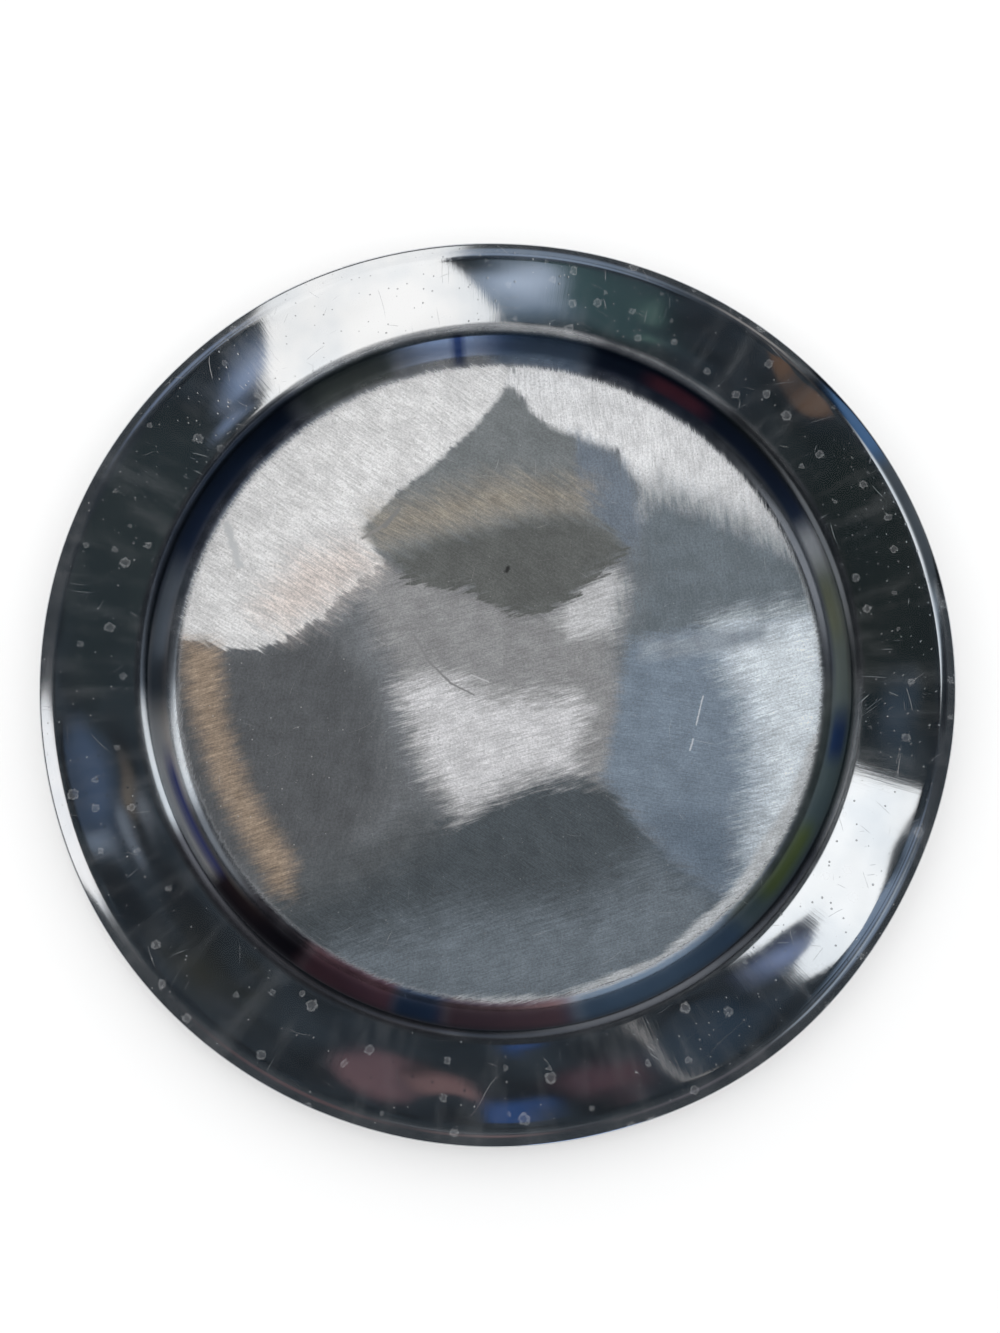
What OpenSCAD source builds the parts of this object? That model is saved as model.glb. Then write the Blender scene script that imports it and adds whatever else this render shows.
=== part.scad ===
// Round serving plate, spun from one disc of sheet metal: a flat floor, a well wall that
// bends up out of it, a sloping rim and a lip that rolls gently down at the edge. The
// metal keeps one thickness from the middle to the lip, so the back has the face's form.
// Z is up, the plate rests on the flat back of its floor at Z = 0, centred on the origin.

/* [Plate] */
// Outside diameter, over the lip
plate_d = 305; // [270:1:360]
// Diameter of the flat part of the floor
floor_d = 219; // [180:1:240]
// Thickness of the metal
wall = 2; // [1:0.1:3]

/* [Well] */
// Rise of the well wall, from the floor to where the rim starts
well_depth = 11; // [9:0.5:20]
// Slope of the well wall, in degrees from level
well_slope = 58; // [45:1:75]
// Inside radius of the bend between the floor and the well wall
floor_bend_r = 6; // [2:0.5:8]

/* [Rim] */
// Slope of the rim, in degrees from level
rim_slope = 11; // [4:1:20]
// Inside radius of the shoulder, the bend between the well wall and the rim
shoulder_r = 2.5; // [1:0.5:6]

/* [Lip] */
// Inside radius of the lip's bend
lip_r = 6; // [1:0.5:10]
// How far the lip turns down, in degrees below level
lip_turn = 30; // [20:5:80]

/* [Hidden] */
$fn = 96;

// Steps that each bend of the section is drawn in
bend_steps = 12;

// Half the thickness: the metal lies this far to each side of its middle line
half = wall / 2;

// Radii of the three bends at the middle of the metal
floor_bend_mid = floor_bend_r + half;
shoulder_mid = shoulder_r + half;
lip_mid = lip_r + half;

// Straight length of the well wall that gives the rise asked for
wall_run = (well_depth
    - floor_bend_mid * (1 - cos(well_slope))
    - shoulder_mid * (cos(rim_slope) - cos(well_slope))) / sin(well_slope);

// Straight length of the rim that brings the lip out to the plate's diameter
rim_run = (plate_d / 2 - half - floor_d / 2
    - floor_bend_mid * sin(well_slope)
    - wall_run * cos(well_slope)
    - shoulder_mid * (sin(well_slope) - sin(rim_slope))
    - lip_mid * (sin(rim_slope) + sin(lip_turn))) / cos(rim_slope);

// Points along the middle of the metal, as [radius, height], from the floor out to the lip
floor_end = [floor_d / 2, half];
floor_bend_c = floor_end + floor_bend_mid * up(0);
wall_start = floor_bend_c - floor_bend_mid * up(well_slope);
wall_end = wall_start + wall_run * along(well_slope);
shoulder_c = wall_end - shoulder_mid * up(well_slope);
rim_start = shoulder_c + shoulder_mid * up(rim_slope);
rim_end = rim_start + rim_run * along(rim_slope);
lip_c = rim_end - lip_mid * up(rim_slope);
lip_end = lip_c + lip_mid * up(-lip_turn);

// Direction of a run at an angle from level, and the direction square to it, upwards
function along(angle) = [cos(angle), sin(angle)];
function up(angle) = [-sin(angle), cos(angle)];

// The points of a bend's surface round its centre, turning from one angle to another
function bend(centre, r, from, to) =
    [for (i = [0:bend_steps]) centre + r * along(from + (to - from) * i / bend_steps)];

// Half the plate's section: out along the face, round the edge of the lip, back along the back
module section() {
    polygon(concat(
        [[0, wall]],
        bend(floor_bend_c, floor_bend_mid - half, -90, well_slope - 90),
        bend(shoulder_c, shoulder_mid + half, well_slope + 90, rim_slope + 90),
        bend(lip_c, lip_mid + half, rim_slope + 90, 90 - lip_turn),
        bend(lip_end, half, 90 - lip_turn, -90 - lip_turn),
        bend(lip_c, lip_mid - half, 90 - lip_turn, rim_slope + 90),
        bend(shoulder_c, shoulder_mid - half, rim_slope + 90, well_slope + 90),
        bend(floor_bend_c, floor_bend_mid + half, well_slope - 90, -90),
        [[0, 0]]
    ));
}

module plate() {
    color("silver")
        rotate_extrude()
            section();
}

plate();
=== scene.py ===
"""Looks of a round metal serving plate with a mirror rim and a floor brushed in patches."""

import math

import bpy
import numpy as np
from bpy.props import FloatProperty, FloatVectorProperty, IntProperty, PointerProperty
from mathutils import Matrix, Vector


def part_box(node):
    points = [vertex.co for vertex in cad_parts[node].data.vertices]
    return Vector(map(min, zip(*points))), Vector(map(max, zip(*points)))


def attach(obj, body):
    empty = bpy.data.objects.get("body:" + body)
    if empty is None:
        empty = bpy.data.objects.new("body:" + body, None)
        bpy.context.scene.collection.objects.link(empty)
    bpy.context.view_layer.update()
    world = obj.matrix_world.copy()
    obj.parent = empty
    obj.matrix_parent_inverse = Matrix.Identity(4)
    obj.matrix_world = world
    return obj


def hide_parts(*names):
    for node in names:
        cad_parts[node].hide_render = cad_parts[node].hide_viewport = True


bl_info = {
    "name": "Round serving plate",
    "version": (1, 0, 0),
    "blender": (4, 5, 0),
    "location": "3D View > Sidebar > Serving plate",
    "description": "Makes a spun metal serving plate, its brushed and polished finish and its stage",
    "category": "Add Mesh",
}

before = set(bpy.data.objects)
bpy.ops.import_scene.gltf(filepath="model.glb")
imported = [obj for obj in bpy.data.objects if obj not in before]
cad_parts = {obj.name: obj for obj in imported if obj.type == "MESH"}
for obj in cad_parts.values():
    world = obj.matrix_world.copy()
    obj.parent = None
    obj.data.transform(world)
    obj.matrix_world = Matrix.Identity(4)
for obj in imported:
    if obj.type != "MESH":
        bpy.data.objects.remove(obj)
_, CAD_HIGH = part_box("plate")
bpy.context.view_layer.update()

MM = 0.001
PIECE = "serving_plate"
NODE = "plate"
BODY = "root"


# Sizes and colours that a user would change


def length(name, description, default, low, high):
    """A size in metres, shown in the scene's own unit."""
    return FloatProperty(
        name=name, description=description, default=default, min=low, max=high, unit="LENGTH", precision=4
    )


def angle(name, description, degrees, low, high):
    """An angle, kept in radians and shown in degrees."""
    return FloatProperty(
        name=name,
        description=description,
        default=math.radians(degrees),
        min=math.radians(low),
        max=math.radians(high),
        subtype="ANGLE",
    )


def colour(name, description, default):
    """A linear colour."""
    return FloatVectorProperty(
        name=name, description=description, default=default, min=0.0, max=1.0, size=3, subtype="COLOR"
    )


def share(name, description, default):
    """A share from 0 to 1."""
    return FloatProperty(
        name=name, description=description, default=default, min=0.0, max=1.0, subtype="FACTOR"
    )


class PlateSizes(bpy.types.PropertyGroup):
    """The section of the plate, with the same values as its CAD source."""

    plate_d: length("Plate diameter", "Across the lip", round(2 * CAD_HIGH.x, 4), 0.27, 0.36)
    floor_d: length("Floor diameter", "Flat floor, up to the bend", 0.219, 0.18, 0.24)
    wall: length("Thickness", "Thickness of the sheet", 0.002, 0.001, 0.003)
    well_depth: length("Well depth", "Floor to the start of the rim, inside", 0.011, 0.009, 0.02)
    well_slope: angle("Well slope", "Slope of the well's wall", 58, 45, 75)
    floor_bend_r: length("Floor bend", "Inside radius between floor and wall", 0.006, 0.002, 0.008)
    rim_slope: angle("Rim slope", "Slope of the rim", 11, 4, 20)
    shoulder_r: length("Shoulder", "Inside radius between wall and rim", 0.0025, 0.001, 0.006)
    lip_r: length("Lip bend", "Inside radius of the lip's bend", 0.006, 0.001, 0.01)
    lip_turn: angle("Lip turn", "How far the lip turns down", 30, 20, 80)
    around: IntProperty(name="Facets", description="Facets round the plate", default=512, min=96, max=640)
    waviness: length("Waviness", "How far the rim leaves a true cone", 0.00008, 0.0, 0.001)


class PlateFinish(bpy.types.PropertyGroup):
    """Colours and strengths of the finish."""

    metal: colour("Metal", "Polished metal of the rim", (0.80, 0.81, 0.83))
    # Painted shade: the lip's edge is darkened in its colour where it would mirror the pale floor.
    lip_edge_painted_shade: colour("Lip metal", "Dull metal at the lip's edge", (0.30, 0.31, 0.32))
    back_metal: colour("Back metal", "Metal of the plain back", (0.60, 0.61, 0.63))
    polish: share("Rim roughness", "Roughness of the polished rim", 0.035)
    stroke_depth: length("Stroke depth", "Height of the brush strokes", 0.00006, 0.0, 0.0003)
    haze_depth: length("Rim line depth", "Height of the fine polishing lines", 0.0000015, 0.0, 0.0001)


class PlateStage(bpy.types.PropertyGroup):
    """The floor, the lamps and the camera."""

    floor_colour: colour("Floor", "Pale studio floor", (0.92, 0.92, 0.92))
    world_colour: colour("Studio", "Pale studio walls", (0.98, 0.98, 0.98))
    surround: colour("Dark cards", "Dark cards that the metal mirrors", (0.016, 0.022, 0.028))
    floor_size: length("Floor size", "Side of the floor", 24.0, 4.0, 60.0)
    lens: FloatProperty(name="Lens", description="Focal length in mm", default=27.0, min=10.0, max=100.0)


# The plate's section and its surface

# Steps along each stretch of the section, on the face and on the plainer back.
FACE_STEPS = {"floor": 55, "bend": 10, "wall": 4, "shoulder": 8, "rim": 16, "lip": 10, "nose": 8}
BACK_STEPS = {"lip": 6, "rim": 8, "shoulder": 6, "wall": 3, "bend": 6, "floor": 10}
STRETCHES = (*FACE_STEPS, "back")


def along(turn):
    """Unit vector at an angle above the horizontal."""
    return np.array([math.cos(turn), math.sin(turn)])


def up(turn):
    """Unit vector square to along(), to its left."""
    return np.array([-math.sin(turn), math.cos(turn)])


def bend(centre, radius, start, end, count):
    """Points centre + radius * along(t) for count equal steps of t from start to end."""
    t = np.linspace(start, end, count + 1)[:, None]
    return centre + radius * np.hstack([np.cos(t), np.sin(t)])


def run(start, end, count):
    """Points start + (end - start) * t for count equal steps of t from 0 to 1."""
    return start + (end - start) * np.linspace(0, 1, count + 1)[:, None]


def section(s):
    """The closed section from the middle of the face, over the lip and back to the middle of the back.

    A middle line goes flat along the floor, bends up by well_slope, runs straight, bends back to
    rim_slope, runs straight and turns down by lip_turn. The face lies half a thickness above it, the
    back half a thickness below it, and a half circle joins them at the lip.
    """
    half = s.wall / 2
    quarter = math.pi / 2
    slope, rim, turn = s.well_slope, s.rim_slope, s.lip_turn
    floor_mid, shoulder_mid, lip_mid = s.floor_bend_r + half, s.shoulder_r + half, s.lip_r + half
    wall_run = (
        s.well_depth
        - floor_mid * (1 - math.cos(slope))
        - shoulder_mid * (math.cos(rim) - math.cos(slope))
    ) / math.sin(slope)
    rim_run = (
        s.plate_d / 2
        - half
        - s.floor_d / 2
        - floor_mid * math.sin(slope)
        - wall_run * math.cos(slope)
        - shoulder_mid * (math.sin(slope) - math.sin(rim))
        - lip_mid * (math.sin(rim) + math.sin(turn))
    ) / math.cos(rim)
    floor_end = np.array([s.floor_d / 2, half])
    floor_c = floor_end + floor_mid * up(0)
    wall_start = floor_c - floor_mid * up(slope)
    wall_end = wall_start + wall_run * along(slope)
    shoulder_c = wall_end - shoulder_mid * up(slope)
    rim_start = shoulder_c + shoulder_mid * up(rim)
    rim_end = rim_start + rim_run * along(rim)
    lip_c = rim_end - lip_mid * up(rim)
    lip_end = lip_c + lip_mid * up(-turn)
    middle_top, middle_back = np.array([0.0, s.wall]), np.array([0.0, 0.0])
    steps = FACE_STEPS
    face = [
        ("floor", run(middle_top, floor_end + half * up(0), steps["floor"])),
        ("bend", bend(floor_c, floor_mid - half, -quarter, slope - quarter, steps["bend"])),
        ("wall", run(wall_start + half * up(slope), wall_end + half * up(slope), steps["wall"])),
        ("shoulder",
         bend(shoulder_c, shoulder_mid + half, slope + quarter, rim + quarter, steps["shoulder"])),
        ("rim", run(rim_start + half * up(rim), rim_end + half * up(rim), steps["rim"])),
        ("lip", bend(lip_c, lip_mid + half, rim + quarter, quarter - turn, steps["lip"])),
        ("nose", bend(lip_end, half, quarter - turn, -quarter - turn, steps["nose"])),
    ]
    steps = BACK_STEPS
    back = [
        bend(lip_c, lip_mid - half, quarter - turn, rim + quarter, steps["lip"]),
        run(rim_end - half * up(rim), rim_start - half * up(rim), steps["rim"]),
        bend(shoulder_c, shoulder_mid - half, rim + quarter, slope + quarter, steps["shoulder"]),
        run(wall_end - half * up(slope), wall_start - half * up(slope), steps["wall"]),
        bend(floor_c, floor_mid + half, slope - quarter, -quarter, steps["bend"]),
        run(floor_end - half * up(0), middle_back, steps["floor"]),
    ]
    stretches = face + [("back", part) for part in back]
    points = [stretches[0][1]] + [part[1:] for _, part in stretches[1:]]
    zones = [np.full(len(part), STRETCHES.index(name)) for (name, _), part in zip(stretches, points)]
    return np.vstack(points), np.concatenate(zones)


# Flats and bulges of the hand-trued outline: azimuth and spread in degrees, reach in millimetres,
# and how far the outline stands off elsewhere.
OUTLINE_TRUING = (
    (16, 13, 0.30),
    (50, 15, -0.30),
    (88, 16, -0.85),
    (121, 8, 0.20),
    (186, 14, -0.45),
    (226, 15, 0.35),
    (285, 10, -0.60),
    (327, 15, -1.45),
)
OUTLINE_REST = -0.30

# Small knocks in the rim: azimuth in degrees, then radius, spread and height in millimetres.
RIM_KNOCKS = (
    (334.0, 146.5, 8.0, -0.12),
    (42.0, 146.5, 7.5, -0.14),
    (53.0, 148.0, 9.0, 0.03),
    (196.0, 146.0, 9.0, -0.10),
    (263.0, 147.5, 6.0, -0.10),
    (296.0, 136.0, 9.0, -0.06),
    (72.0, 140.0, 10.0, -0.05),
    (128.0, 133.0, 12.0, -0.04),
    (231.0, 127.0, 5.0, -0.08),
)

# Long waves of the rim's height: waves round the plate, phase in degrees, share of the waviness.
RIM_WAVES = ((2, 40, 0.9), (3, 115, 0.6), (5, 250, 0.35), (9, 20, 0.12), (14, 160, 0.06))
# Radii between which the truing grows, and the share of it at which the knocks are whole already.
TRUING_FROM, TRUING_TO = 117 * MM, 150 * MM
KNOCKS_WHOLE_AT = 0.25


def hand_work(points, azimuth, s):
    """Offsets of a rim that was trued by hand, as (outward, upward) for each point.

    Outward, a sum of bell curves over the azimuth, and upward, a sum of sines and of round bell
    curves about each knock. Both grow from nothing at the shoulder to their whole value at the lip.
    """
    radius = points[:, :1]
    turn = azimuth[None, :]
    grown = np.clip((radius - TRUING_FROM) / (TRUING_TO - TRUING_FROM), 0, 1)
    grown = grown * grown * (3 - 2 * grown)
    outward = np.full(turn.shape, OUTLINE_REST)
    for at, spread, reach in OUTLINE_TRUING:
        gap = (np.degrees(turn) - at + 180) % 360 - 180
        outward = outward + reach * np.exp(-0.5 * (gap / spread) ** 2)
    upward = -sum(part for _, _, part in RIM_WAVES) * np.ones_like(turn)
    for waves, phase, part in RIM_WAVES:
        upward = upward + part * np.sin(waves * turn + math.radians(phase))
    upward = upward * s.waviness * grown
    knocks = np.zeros_like(upward)
    for at, knock_radius, spread, height in RIM_KNOCKS:
        gap = np.radians((np.degrees(turn) - at + 180) % 360 - 180) * knock_radius
        reach = np.hypot(gap, radius / MM - knock_radius) / spread
        knocks = knocks + height * np.exp(-0.5 * reach**2)
    return outward * MM * grown, upward + knocks * MM * np.clip(grown / KNOCKS_WHOLE_AT, 0, 1)


def revolve(points, azimuth, outward, upward):
    """Points (r cos a, r sin a, z) of the section turned round Z, r and z moved by the hand work."""
    radius = points[:, :1] + outward
    height = points[:, 1:] + upward
    return np.stack([radius * np.cos(azimuth), radius * np.sin(azimuth), height], axis=-1)


def shell_faces(rings, around):
    """Quads between neighbouring rings, and a fan of triangles at each of the two poles.

    The corners of ring i and facet j are i * around + j; the poles are the two last vertices.
    """
    ring, facet = np.meshgrid(np.arange(rings - 1), np.arange(around), indexing="ij")
    after = (facet + 1) % around
    here, beyond = ring * around, (ring + 1) * around
    quads = np.stack([here + facet, beyond + facet, beyond + after, here + after], axis=-1).reshape(-1, 4)
    spoke = np.arange(around)
    following = (spoke + 1) % around
    first_pole, last_pole = rings * around, rings * around + 1
    last_ring = (rings - 1) * around
    first_fan = np.stack([np.full(around, first_pole), spoke, following], axis=-1)
    last_fan = np.stack([np.full(around, last_pole), last_ring + following, last_ring + spoke], axis=-1)
    return quads, first_fan, last_fan


# The brushed patches of the floor

# Headings in degrees along which the floor was brushed.
LEVEL, DIPPING, UPRIGHT, LEFTWARD, FALLING = 17, 172, 78, 97, 148

# Each patch: name, outline in millimetres on the floor, heading of its strokes, length of the
# jagged stroke ends and softness of the border in millimetres, colour and roughness.
# The colours are mostly painted sheen: how brightly each patch's strokes would mirror the light is
# painted into its colour, with edge_glint a painted highlight. Later patches lie over earlier ones.
PATCHES = (
    (
        "left_dark",
        ((-114, 4), (-82, 5), (-66, 14), (-56, 10), (-46, -6), (-42, -24), (-38, -44), (-56, -64), (-78, -74),
         (-96, -62), (-112, -30)),
        UPRIGHT, 3.0, 14.0, (0.121, 0.128, 0.137), 0.38,
    ),
    (
        "lower",
        ((-72, -77), (-45, -69), (-20, -53), (-8, -46), (1, -41), (11, -36), (21, -34), (34, -39), (44, -51),
         (59, -66), (72, -76), (90, -84), (60, -125), (-60, -125), (-96, -84)),
        FALLING, 4.0, 4.0, (0.090, 0.107, 0.121), 0.38,
    ),
    (
        "lower_pale",
        ((-68, -100), (-37, -90), (-16, -83), (4, -84), (30, -80), (50, -66), (72, -76), (96, -84),
         (60, -125), (-50, -125)),
        LEVEL, 4.0, 26.0, (0.20, 0.237, 0.272), 0.38,
    ),
    (
        "lower_left",
        ((-74, -72), (-60, -64), (-42, -57), (-24, -46), (-21, -58), (-40, -71), (-60, -79), (-76, -84)),
        LEVEL, 4.0, 18.0, (0.118, 0.130, 0.140), 0.38,
    ),
    (
        "middle",
        ((-52, 34), (-30, 34), (0, 24), (20, 22), (40, 36), (44, 20), (42, 0), (44, -24), (36, -40),
         (20, -35), (0, -44), (-16, -52), (-24, -40), (-30, -26), (-34, -8), (-44, 10)),
        LEVEL, 5.0, 12.0, (0.322, 0.323, 0.328), 0.40,
    ),
    (
        "middle_bright",
        ((-36, -8), (-22, -3), (-4, -11), (20, -11), (25, -10), (29, -15), (25, -31), (23, -36), (10, -38),
         (-2, -43), (-14, -50), (-24, -38), (-30, -24)),
        LEVEL, 4.0, 13.0, (0.73, 0.725, 0.74), 0.44,
    ),
    (
        "middle_spot",
        ((20, 18), (26, 28), (38, 36), (45, 28), (38, 12), (24, 11)),
        LEVEL, 4.0, 9.0, (0.61, 0.61, 0.62), 0.44,
    ),
    (
        "top_right",
        ((2.5, 104), (8, 96), (14, 90), (20, 86), (26, 84), (41, 78), (48, 66), (46, 52), (60, 56), (80, 47),
         (104, 36), (112, 30), (100, 84), (60, 118), (4, 124)),
        LEFTWARD, 5.0, 4.0, (0.82, 0.82, 0.83), 0.46,
    ),
    (
        "right_high",
        ((46, 66), (60, 65), (80, 58), (104, 46), (116, 38), (116, 14), (51, 2), (42, 0), (46, 30)),
        LEFTWARD, 4.0, 22.0, (0.158, 0.188, 0.212), 0.38,
    ),
    (
        "right_low",
        ((44, 9), (51, 11), (99, 18), (118, 20), (118, -60), (92, -84), (72, -76), (59, -66), (44, -51),
         (34, -39), (38, -20), (42, 0)),
        DIPPING, 2.5, 6.0, (0.222, 0.276, 0.34), 0.38,
    ),
    (
        "right_low_dark",
        ((52, -54), (64, -48), (80, -56), (84, -70), (80, -79), (72, -76), (59, -66)),
        DIPPING, 2.5, 22.0, (0.155, 0.20, 0.255), 0.38,
    ),
    (
        "right_bright",
        ((76, 14), (99, 18), (118, 20), (118, -55), (100, -76), (82, -80), (84, -58), (88, -40), (86, -14),
         (79, 0)),
        LEVEL, 3.0, 22.0, (0.77, 0.83, 0.88), 0.44,
    ),
    (
        "slate_strip",
        ((25, 85), (41, 79), (48, 66), (49, 50), (45, 40), (36, 41), (25, 60)),
        LEFTWARD, 3.0, 8.0, (0.180, 0.214, 0.258), 0.38,
    ),
    (
        "top_left",
        ((2.5, 104), (-9, 88), (-23, 74), (-36, 63), (-49, 49), (-41, 38), (-49, 31), (-60, 22), (-63, 16),
         (-76, 9), (-82, 6), (-94, 5), (-107, 8), (-122, 10), (-95, 90), (-40, 118), (0, 124)),
        FALLING, 3.0, 2.0, (0.80, 0.795, 0.795), 0.46,
    ),
    (
        "top_left_pink",
        ((-86, 20), (-72, 38), (-52, 44), (-44, 36), (-58, 24), (-74, 12)),
        FALLING, 4.0, 18.0, (0.735, 0.665, 0.63), 0.46,
    ),
    (
        "wedge",
        ((2.5, 104), (-9, 88), (-23, 74), (-36, 63), (-49, 49), (-45, 42), (-40, 37), (-36, 34), (-23, 29),
         (-13, 30), (-6, 25), (1, 21), (14, 19), (17, 23), (26, 28), (32, 33.5), (40, 38.5), (45, 42),
         (30, 58), (26, 62), (26, 84), (14, 90), (8, 96)),
        FALLING, 0.9, 4.0, (0.208, 0.225, 0.232), 0.38,
    ),
    (
        "wedge_gold",
        ((-46, 54), (-20, 62), (0, 67), (30, 66), (28, 57), (10, 57), (-10, 52), (-42, 45)),
        FALLING, 4.0, 20.0, (0.342, 0.305, 0.252), 0.40,
    ),
    (
        "wedge_dark",
        ((-40, 38), (-26, 44), (-10, 48), (10, 53), (26, 54), (38, 48), (44, 41), (32, 33.5), (26, 28),
         (17, 23), (14, 19), (1, 21), (-6, 25), (-13, 30), (-23, 29), (-34, 34)),
        FALLING, 4.0, 8.0, (0.136, 0.142, 0.137), 0.38,
    ),
    (
        "wedge_teeth",
        ((-36, 36.5), (-24, 32), (-13, 32.5), (-5, 28), (2, 24), (12, 22), (15, 25.5), (25, 30.5), (31, 36),
         (43, 42), (42, 39), (33, 32), (27, 26.5), (18, 21.5), (14.5, 17.5), (0.5, 19.5), (-7, 23.5),
         (-13, 28.5), (-23, 27.5), (-35, 32)),
        LEVEL, 6.0, 2.0, (0.136, 0.142, 0.137), 0.38,
    ),
    (
        "right_light",
        ((48, 9), (75, 13), (92, 15), (92, 9), (75, 6), (48, 3)),
        LEVEL, 2.0, 6.0, (0.31, 0.352, 0.40), 0.40,
    ),
    (
        "gold_edge",
        ((-110.5, 9), (-98, 7), (-95.5, -11), (-93.5, -22), (-86.5, -40), (-77, -56), (-70, -65), (-70, -77),
         (-76, -76), (-79, -70), (-87.5, -57), (-96.5, -41), (-103.5, -22), (-108, -8)),
        LEVEL, 1.5, 9.0, (0.372, 0.288, 0.216), 0.42,
    ),
    (
        "edge_glint",
        ((-16.6, -118), (20.7, -118), (56, -106), (86, -83), (107, -52), (117, -25), (107.5, -23),
         (96.6, -47), (77.8, -75.2), (52, -97), (19.3, -109.4), (-16, -110.6)),
        LEVEL, 1.2, 3.0, (0.62, 0.64, 0.66), 0.42,
    ),
)
# The floor between the patches: its colour, its roughness and the heading of its strokes.
GROUND_TONE, GROUND_ROUGHNESS, GROUND_HEADING = (0.20, 0.213, 0.227), 0.38, LEVEL
# Thin marks on the floor: from, to and width in millimetres, and colour.
SCUFFS = (
    ((1.2, 34.2), (1.9, 35.0), 1.3, (0.03, 0.03, 0.03)),
    ((-11, -3), (-5, -5.5), 0.4, (0.60, 0.60, 0.61)),
    ((69.5, -10), (66.8, -20), 0.4, (0.60, 0.63, 0.68)),
    ((65.5, -25), (64.4, -28.7), 0.45, (0.60, 0.63, 0.68)),
    ((-97, 50), (-92, 35), 2.0, (0.62, 0.63, 0.64)),
    ((-49.5, 45.5), (-41, 51), 0.9, (0.30, 0.29, 0.28)),
    ((-42, 50), (-37, 56), 1.3, (0.25, 0.25, 0.245)),
    ((-31, 11), (-26, 2), 0.6, (0.28, 0.28, 0.285)),
    ((-26, 2), (-18, -6), 0.6, (0.28, 0.28, 0.285)),
    ((-18, -6), (-10, -10), 0.5, (0.27, 0.27, 0.275)),
)
# Share of the brushed skin that mirrors; the rest scatters light as a matt skin does.
BRUSHED_METALLIC = 0.45

# Places on the face, in millimetres along it from its middle, between which one skin turns into
# another: the edge of the brushed floor and how far it is ragged, the well wall with its two bends,
# the start of the lip's bend and the edge of the lip, which painted shade darkens.
SATIN_EDGE, SATIN_RAGGED = 111.4, 1.6
CORNER_START, CORNER_END = (111.0, 114.0), (127.5, 125.5)
LIP_START, LIP_EDGE = (151.5, 153.5), (157.6, 158.4)

# Painted reflections and painted shade on the polished metal: tints that stand in for coloured and
# dark reflections in the well, the shoulder and the lip, and that dim the glints of lamps there.
# From and to in degrees round the plate, from and to in millimetres along the face from its middle,
# the softness of each, and the colour that the metal is dimmed by.
PAINTED_REFLECTION_TINTS = (
    (25, 76, 112.0, 124.5, 6, 3.0, (0.06, 0.09, 0.16)),
    (52, 63, 117.0, 122.0, 6, 3.0, (0.58, 0.18, 0.25)),
    (75, 92, 112.0, 124.0, 6, 3.0, (0.45, 0.62, 0.85)),
    (97, 99, 112.0, 124.0, 1.5, 3.0, (0.10, 0.16, 0.35)),
    (88, 110, 119.4, 120.6, 3, 1.2, (0.40, 0.45, 0.60)),
    (110, 128, 113.0, 124.5, 4, 2.0, (0.33, 0.36, 0.33)),
    (127, 174, 112.0, 125.5, 10, 3.0, (0.03, 0.05, 0.10)),
    (163, 188, 113.0, 123.0, 8, 3.0, (0.20, 0.24, 0.29)),
    (196, 222, 116.0, 119.5, 8, 2.0, (0.13, 0.17, 0.50)),
    (217, 237, 111.0, 124.5, 4, 2.0, (0.05, 0.04, 0.055)),
    (236, 253, 111.0, 124.5, 4, 2.0, (0.40, 0.18, 0.22)),
    (252, 261, 111.0, 124.5, 3, 2.0, (0.08, 0.13, 0.24)),
    (260, 282, 111.0, 124.5, 4, 2.0, (0.27, 0.15, 0.17)),
    (281, 314, 111.5, 124.5, 6, 2.0, (0.16, 0.24, 0.35)),
    (312, 354, 112.0, 124.5, 6, 3.0, (0.25, 0.31, 0.30)),
    (318, 332, 115.0, 121.0, 5, 3.0, (0.30, 0.36, 0.13)),
    (344, 354, 116.0, 122.0, 5, 3.0, (0.06, 0.11, 0.26)),
    (352, 378, 112.0, 124.0, 8, 3.0, (0.36, 0.40, 0.35)),
    (5, 15, 116.0, 121.0, 6, 3.0, (0.36, 0.38, 0.26)),
    (-4, 50, 122.8, 126.8, 10, 1.5, (0.15, 0.16, 0.17)),
    (-4, 50, 111.6, 116.6, 10, 1.5, (0.20, 0.22, 0.25)),
    (260, 332, 122.8, 126.6, 10, 1.5, (0.13, 0.14, 0.16)),
    (168, 186, 122.8, 126.8, 6, 1.5, (0.15, 0.17, 0.20)),
    (207, 262, 122.8, 126.8, 6, 1.5, (0.16, 0.155, 0.17)),
    (168, 184, 110.8, 116.5, 6, 1.5, (0.20, 0.22, 0.25)),
    (204, 222, 110.8, 116.5, 8, 1.5, (0.20, 0.21, 0.23)),
    (130, 170, 123.0, 126.8, 10, 1.5, (0.10, 0.12, 0.16)),
    (-9, 12, 152.6, 154.4, 5, 1.0, (0.30, 0.33, 0.36)),
    (9, 44, 152.8, 157.4, 5, 1.2, (0.045, 0.055, 0.065)),
    (29, 41, 152.8, 157.4, 5, 1.0, (0.05, 0.12, 0.24)),
)
# Wear, where the polish has gone dull: the same places, and how much of the skin is dull.
WEAR = (
    (0, 360, 111.0, 115.6, 0, 3.0, 0.12),
    (0, 360, 124.0, 126.6, 0, 1.6, 0.07),
    (0, 360, 153.0, 160.5, 0, 1.5, 0.035),
    (60, 205, 111.6, 115.6, 20, 3.0, 0.22),
    (30, 72, 125.8, 126.8, 12, 0.8, 0.12),
    (73, 96, 124.6, 127.4, 8, 1.6, 0.32),
    (88, 128, 125.0, 127.2, 6, 1.6, 0.28),
    (206, 258, 125.4, 126.6, 10, 0.8, 0.06),
)
# The dull skin itself: its colour, the share of it that mirrors and its roughness.
DULL_METAL, DULL_METALLIC, DULL_ROUGHNESS = (0.42, 0.42, 0.435), 0.3, 0.45


def eased(value, low, high):
    """0 below low and 1 above high, with an eased step between."""
    t = np.clip((value - low) / (high - low), 0, 1)
    return t * t * (3 - 2 * t)


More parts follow.
